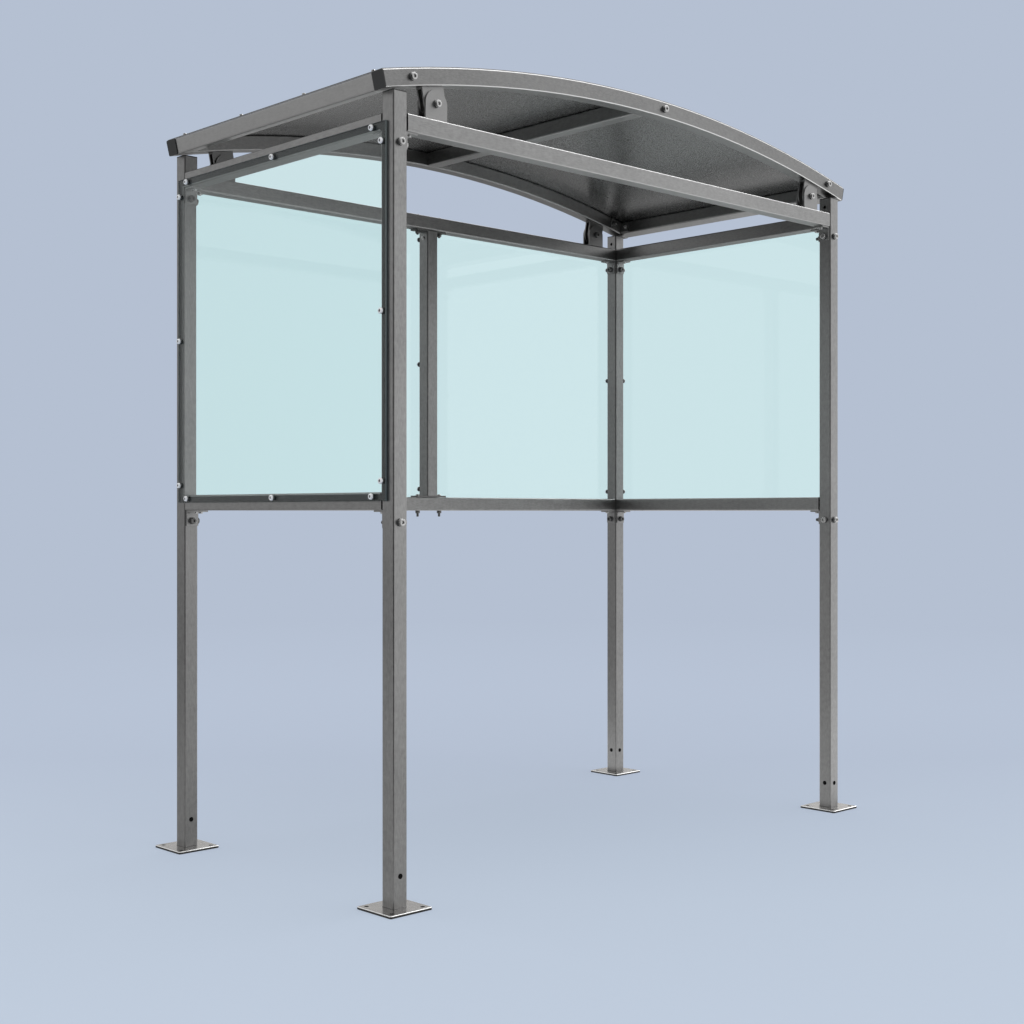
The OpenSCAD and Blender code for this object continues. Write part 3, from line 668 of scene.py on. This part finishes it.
# a cut plate again with a rounded outline, as a copy that stands for the node
def softened(name, newName, edge, finish, reshape=None):
    mesh = bmesh.new()
    mesh.from_mesh(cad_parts[name].data)
    bmesh.ops.remove_doubles(mesh, verts=mesh.verts, dist=rounding["weld"])
    if reshape:
        reshape(mesh)
    low = Vector([min(vertex.co[axis] for vertex in mesh.verts) for axis in range(3)])
    high = Vector([max(vertex.co[axis] for vertex in mesh.verts) for axis in range(3)])
    centre, half = (low + high) / 2, (high - low) / 2
    thin = min(range(3), key=lambda axis: half[axis])
    for side in (-1, 1):
        for step in rounding["steps"]:
            level, normal = Vector(centre), Vector((0.0, 0.0, 0.0))
            level[thin] += side * (half[thin] - edge * (1 - step))
            normal[thin] = 1.0
            bmesh.ops.bisect_plane(mesh, geom=mesh.verts[:] + mesh.edges[:] + mesh.faces[:],
                                   plane_co=level, plane_no=normal)
    for vertex in mesh.verts:
        away = vertex.co - centre
        above = edge - (half[thin] - abs(away[thin]))
        if above <= 0.0:
            continue
        inset = edge - math.sqrt(max(edge ** 2 - above ** 2, 0.0))
        for axis in range(3):
            beyond = abs(away[axis]) - (half[axis] - rounding["corner"])
            if axis != thin and beyond > 0.0:
                shorter = math.copysign(beyond * inset / rounding["corner"], away[axis])
                vertex.co[axis] -= shorter
    mesh.normal_update()
    for face in mesh.faces:
        face.smooth = True
    for line in mesh.edges:  # the flat faces keep crisp borders
        line.smooth = all(abs(face.normal[thin]) < rounding["flat"] for face in line.link_faces)
    plain = bpy.data.meshes.new(newName)
    mesh.to_mesh(plain)
    mesh.free()
    plain.materials.append(finish)
    piece = linkPiece(newName, plain)
    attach(piece, "root")
    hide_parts(name)
    return piece


print("plates")
footPlate = {"edge": 0.0020}
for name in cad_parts:
    if name.startswith("base_plate_"):
        softened(name, name.replace("base_", "foot_"), footPlate["edge"], plateSteel)


panelFit = {"gap": 0.0004, "edge": 0.0006, "flat": 0.9}
tapeFit = {"gap": 0.00005, "thick": 0.0003, "wide": 0.0195}


# a clear panel again, a hair clear of the frame, with softened and darker edges
def fittedPanel(name, facing):
    axis = 0 if facing[0] else 1
    sign = facing[axis]
    low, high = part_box(name)
    inner = (low if sign > 0 else high)[axis]

    def clearOfFrame(mesh):
        for vertex in mesh.verts:
            if abs(vertex.co[axis] - inner) < panelFit["gap"] / 4:
                vertex.co[axis] = inner + sign * panelFit["gap"]

    piece = softened(name, "clear_" + name, panelFit["edge"], aquaPanel, clearOfFrame)
    piece.data.materials.append(sawnEdge)
    for face in piece.data.polygons:
        face.material_index = 0 if abs(face.normal[axis]) > panelFit["flat"] else 1


# a flat ring of black tape between the panel's rim and the tubes; its black is also painted shade, the
# shade the panel casts on the tubes it laps
def glazingTape(name, facing):
    axis = 0 if facing[0] else 1
    other = 1 - axis
    sign = facing[axis]
    low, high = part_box(name)
    inner = (low if sign > 0 else high)[axis]
    points = []
    for depth in (tapeFit["gap"], tapeFit["gap"] + tapeFit["thick"]):
        for inset in (0.0, tapeFit["wide"]):
            start, end = low[other] + inset, high[other] - inset
            bottom, top = low.z + inset, high.z - inset
            for a, z in ((start, bottom), (end, bottom), (end, top), (start, top)):
                point = [0.0, 0.0, z]
                point[axis], point[other] = inner + sign * depth, a
                points.append(tuple(point))
    faces = []
    for corner in range(4):
        after = (corner + 1) % 4
        for first, second in ((0, 4), (8, 12), (0, 8), (4, 12)):  # back, front, outside, inside
            faces.append((first + corner, first + after, second + after, second + corner))
    ring = bpy.data.meshes.new(name + "_tape")
    ring.from_pydata(points, [], faces)
    shaped = bmesh.new()
    shaped.from_mesh(ring)
    bmesh.ops.recalc_face_normals(shaped, faces=shaped.faces)
    shaped.to_mesh(ring)
    shaped.free()
    ring.materials.append(tapeAndShadeRubber)
    piece = linkPiece("tape_" + name, ring)
    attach(piece, "root")


print("panels")
for name, facing in panels.items():
    fittedPanel(name, facing)
    glazingTape(name, facing)


# a bead laid along lines; welds are rippled and sealant is nearly even
weldBead = {"Bead": 0.0015, "Ripple": 0.0036, "Wave": 0.22, "Corner": 0.005, "Step": 0.0014}
beadLook = {"cornerSteps": 5, "sides": 10}


def beadTreeFor(sizes):
    tree, outer = newTree("weldBead", sizes)
    path = addNode(tree, "GeometryNodeMeshToCurve", {"Mesh": outer["Spots"]}).outputs[0]
    rounded = addNode(tree, "GeometryNodeFilletCurve", {
        "Curve": path, "Radius": outer["Corner"], "Count": beadLook["cornerSteps"]},
        mode="POLY").outputs[0]
    fine = addNode(tree, "GeometryNodeResampleCurve", {
        "Curve": rounded, "Length": outer["Step"]}, mode="LENGTH").outputs[0]
    length = addNode(tree, "GeometryNodeSplineParameter").outputs["Length"]
    phase = calc(tree, "MULTIPLY", calc(tree, "DIVIDE", length, outer["Ripple"]), math.pi)
    ripple = calc(tree, "ABSOLUTE", calc(tree, "SINE", phase))
    swell = calc(tree, "ADD", calc(tree, "MULTIPLY", ripple, outer["Wave"]),
                 calc(tree, "SUBTRACT", 1.0, outer["Wave"]))
    profile = addNode(tree, "GeometryNodeCurvePrimitiveCircle", {
        "Resolution": beadLook["sides"], "Radius": outer["Bead"]}).outputs[0]
    bead = addNode(tree, "GeometryNodeCurveToMesh", {
        "Curve": fine, "Profile Curve": profile, "Scale": swell, "Fill Caps": True}).outputs[0]
    endTree(tree, outer, bead)
    return tree


print("sealant")
beadTree = beadTreeFor(weldBead)
# under the long edges of the roof sheet, in the groove over the purlins' rounded corners
sealStrip = {"Bead": 0.0013, "Wave": 0.02}
edgeSpots = []
for side in (-1, 1):
    x, z = onArch(side * arch["endPurlin"], side * (tube / 2 - sealStrip["Bead"]), sealStrip["Bead"])
    edgeSpots += [((x, corner.y, z), (0, 0, 1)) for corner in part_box("purlin_left")]
grownPiece("roof_sealant", beadTree, sealStrip, spotMesh("sealant", edgeSpots, [(0, 1), (2, 3)]),
           sealantGrey, smooth=60)

print("welds")
weldLine = {"half": 0.0249, "flangeHalf": 0.0198}  # the flanges are narrower than the mullion
beadSpots, beadEdges = [], []
footings = [(sx * postX, sy * postY, plateTop, weldLine["half"]) for sx, sy in sides]
footings += [(0.0, postY, z, weldLine["flangeHalf"]) for z in (flangeUpper, flangeUnder)]
for x, y, z, reach in footings:
    first = len(beadSpots)
    for sx, sy in ((-1, -1), (1, -1), (1, 1), (-1, 1)):
        beadSpots.append(((x + sx * weldLine["half"], y + sy * reach, z), (0, 0, 1)))
    beadEdges += [(first + step, first + (step + 1) % 4) for step in range(4)]
grownPiece("weld_beads", beadTree, {}, spotMesh("beads", beadSpots, beadEdges),
           weldSteel, smooth=60)


# stage, light and camera

# the camera sees a floor that fades from near to backdrop
# behind the clear panels "through" stands for both, and gives the panels most of their colour
# shiny steel mirrors a grey floor instead, with the leans, dusks and pools of light
# a lean is (direction, from, to, level at from, level at to); a pool is (middle, reach, brightness)
stageLook = {"backdrop": (0.462, 0.527, 0.644, 1.0), "near": (0.520, 0.595, 0.708, 1.0),
             "through": (0.656, 0.807, 0.838, 1.0), "size": 60.0, "fade": (4.0, 10.0), "glow": 0.55,
             "nearLean": ((-0.69, -0.72, 0), -1.5, 1.0, 0.0, 1.0),
             "mirrorLean": ((0.92, -0.38, 0), 1.3, 4.4, 0.46, 0.88),
             "frontLean": ((0, -1, 0), -5.0, -1.5, 0.34, 1.0),
             "leftLean": ((-1, 0, 0), -2.0, 0.0, 0.0, 0.66),
             "duskLeft": ((-1, 0, 0), 1.0, 1.8, 0.0, 0.85),
             "duskFront": ((0, -1, 0), 0.8, 1.6, 0.0, 1.0),
             "pools": (((2.6, -0.9, 0.0), 1.8, 0.35), ((1.4, 1.3, 0.0), 2.0, 0.9),
                       ((-0.6, -1.2, 0.0), 1.2, 0.24), ((2.0, -1.3, 0.0), 0.8, 0.30),
                       ((1.35, -0.85, 0.0), 0.7, 0.30), ((-5.2, -0.6, 0.0), 2.2, 0.35),
                       ((-3.3, 4.0, 0.0), 1.6, 0.10))}

# the studio: dull surfaces get the plain level, and only shiny ones mirror the lobes of light
# a lobe is (direction, outer edge, inner edge, level outside, level inside)
worldLook = {"plain": 1.0, "up": ((0, 0, 1), 0.15, 0.95, 0.50, 0.95),
             "frontRight": ((0.95, -0.31, 0.0), 0.55, 1.0, 0.0, 0.38),
             "right": ((0.67, 0.12, 0.73), 0.80, 0.96, 0.0, 2.2),
             "behind": ((-0.69, -0.72, 0.0), 0.55, 0.92, 1.0, 0.12)}


# 1 for a ray that has come straight through the clear panels, without a mirror on its way
def seenThrough(tree, path):
    unmirrored = calc(tree, "LESS_THAN", path["Glossy Depth"], 0.5)
    return calc(tree, "MULTIPLY", path["Is Transmission Ray"], unmirrored)


def makeFloor():
    half = stageLook["size"]
    mesh = bpy.data.meshes.new("floor")
    corners = [(-half, -half, 0), (half, -half, 0), (half, half, 0), (-half, half, 0)]
    mesh.from_pydata(corners, [], [(0, 1, 2, 3)])
    floor = linkPiece("floor", mesh)
    material, tree = newMaterial("floorPaper")
    coords = addNode(tree, "ShaderNodeTexCoord").outputs["Object"]

    def lean(name):
        direction, *levels = stageLook[name]
        reach = calcVector(tree, "DOT_PRODUCT", coords, direction)["Value"]
        return span(tree, reach, *levels)

    path = addNode(tree, "ShaderNodeLightPath").outputs
    far = calcVector(tree, "LENGTH", coords)["Value"]
    nearness = calc(tree, "MULTIPLY", lean("nearLean"), span(tree, far, *stageLook["fade"], 1.0, 0.0))
    near = blendColour(tree, nearness, stageLook["backdrop"], stageLook["near"])
    mirrored = calc(tree, "MULTIPLY", lean("mirrorLean"),
                    calc(tree, "MAXIMUM", lean("frontLean"), lean("leftLean")))
    dusk = calc(tree, "MULTIPLY", lean("duskLeft"), lean("duskFront"))
    mirrored = calc(tree, "MULTIPLY", mirrored, calc(tree, "SUBTRACT", 1.0, dusk))
    for middle, reach, brightness in stageLook["pools"]:
        apart = calcVector(tree, "DISTANCE", coords, middle)["Value"]
        mirrored = calc(tree, "ADD", mirrored, span(tree, apart, 0.0, reach, brightness, 0.0))
    plainRay = calc(tree, "MAXIMUM", path["Is Camera Ray"], path["Is Diffuse Ray"])
    colour = blendColour(tree, plainRay, mirrored, near)
    colour = blendColour(tree, seenThrough(tree, path), colour, stageLook["through"])
    lit = addNode(tree, "ShaderNodeBsdfDiffuse", {"Color": colour})
    glow = addNode(tree, "ShaderNodeEmission", {"Color": colour})
    paper = mixed(tree, span(tree, far, *stageLook["fade"], stageLook["glow"], 1.0), lit, glow)
    # from below the paper is clear, so the underside of the part stays in view
    fromBelow = addNode(tree, "ShaderNodeNewGeometry").outputs["Backfacing"]
    clear = addNode(tree, "ShaderNodeBsdfTransparent")
    closeMaterial(tree, mixed(tree, fromBelow, paper, clear).outputs[0])
    mesh.materials.append(material)
    floor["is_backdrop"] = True


def makeWorld():
    world = bpy.data.worlds.new("studio")
    bpy.context.scene.world = world
    world.use_nodes = True
    world.cycles.sampling_method = "NONE"  # each ray then meets the light that is meant for it
    tree = world.node_tree
    tree.nodes.clear()
    direction = addNode(tree, "ShaderNodeTexCoord").outputs["Generated"]

    def lobe(name):
        middle, low, high, bottom, top = worldLook[name]
        towards = calcVector(tree, "DOT_PRODUCT", direction, middle)["Value"]
        return addNode(tree, "ShaderNodeMapRange", {
            "Value": towards, "From Min": low, "From Max": high, "To Min": bottom, "To Max": top},
            interpolation_type="SMOOTHSTEP").outputs[0]

    level = lobe("up")
    for name, operation in (("frontRight", "ADD"), ("right", "ADD"), ("behind", "MULTIPLY")):
        level = calc(tree, operation, level, lobe(name))
    path = addNode(tree, "ShaderNodeLightPath").outputs
    level = span(tree, path["Is Diffuse Ray"], 0.0, 1.0, level, worldLook["plain"])
    light = addNode(tree, "ShaderNodeBackground", {"Strength": level, "Color": (1, 1, 1, 1)})
    through = addNode(tree, "ShaderNodeBackground", {"Color": stageLook["through"]})
    backdrop = addNode(tree, "ShaderNodeBackground", {"Color": stageLook["backdrop"]})
    clear = mixed(tree, seenThrough(tree, path), light, through)
    seen = mixed(tree, path["Is Camera Ray"], clear, backdrop)
    addNode(tree, "ShaderNodeOutputWorld", {"Surface": seen.outputs[0]})


sunLook = {"from": (0.30, -0.25, 0.92), "angle": 50.0, "strength": 0.35}


def makeLamps():
    data = bpy.data.lights.new("softSky", "SUN")
    data.angle = math.radians(sunLook["angle"])
    data.energy = sunLook["strength"]
    light = bpy.data.objects.new("softSky", data)
    bpy.context.scene.collection.objects.link(light)
    light.rotation_euler = Vector(sunLook["from"]).to_track_quat("Z", "Y").to_euler()


cameraLook = {"place": (-3.7002, -3.7828, 1.0999), "turn": -43.76, "lens": 53.174}


def makeCamera():
    data = bpy.data.cameras.new("camera")
    data.sensor_width = 36.0
    data.lens = cameraLook["lens"]
    camera = bpy.data.objects.new("camera", data)
    bpy.context.scene.collection.objects.link(camera)
    camera.location = cameraLook["place"]
    camera.rotation_euler = (math.pi / 2, 0.0, math.radians(cameraLook["turn"]))
    bpy.context.scene.camera = camera


print("stage, lamps and camera")
makeFloor()
makeWorld()
makeLamps()
makeCamera()
bpy.context.scene.view_settings.view_transform = "Standard"

low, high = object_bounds()
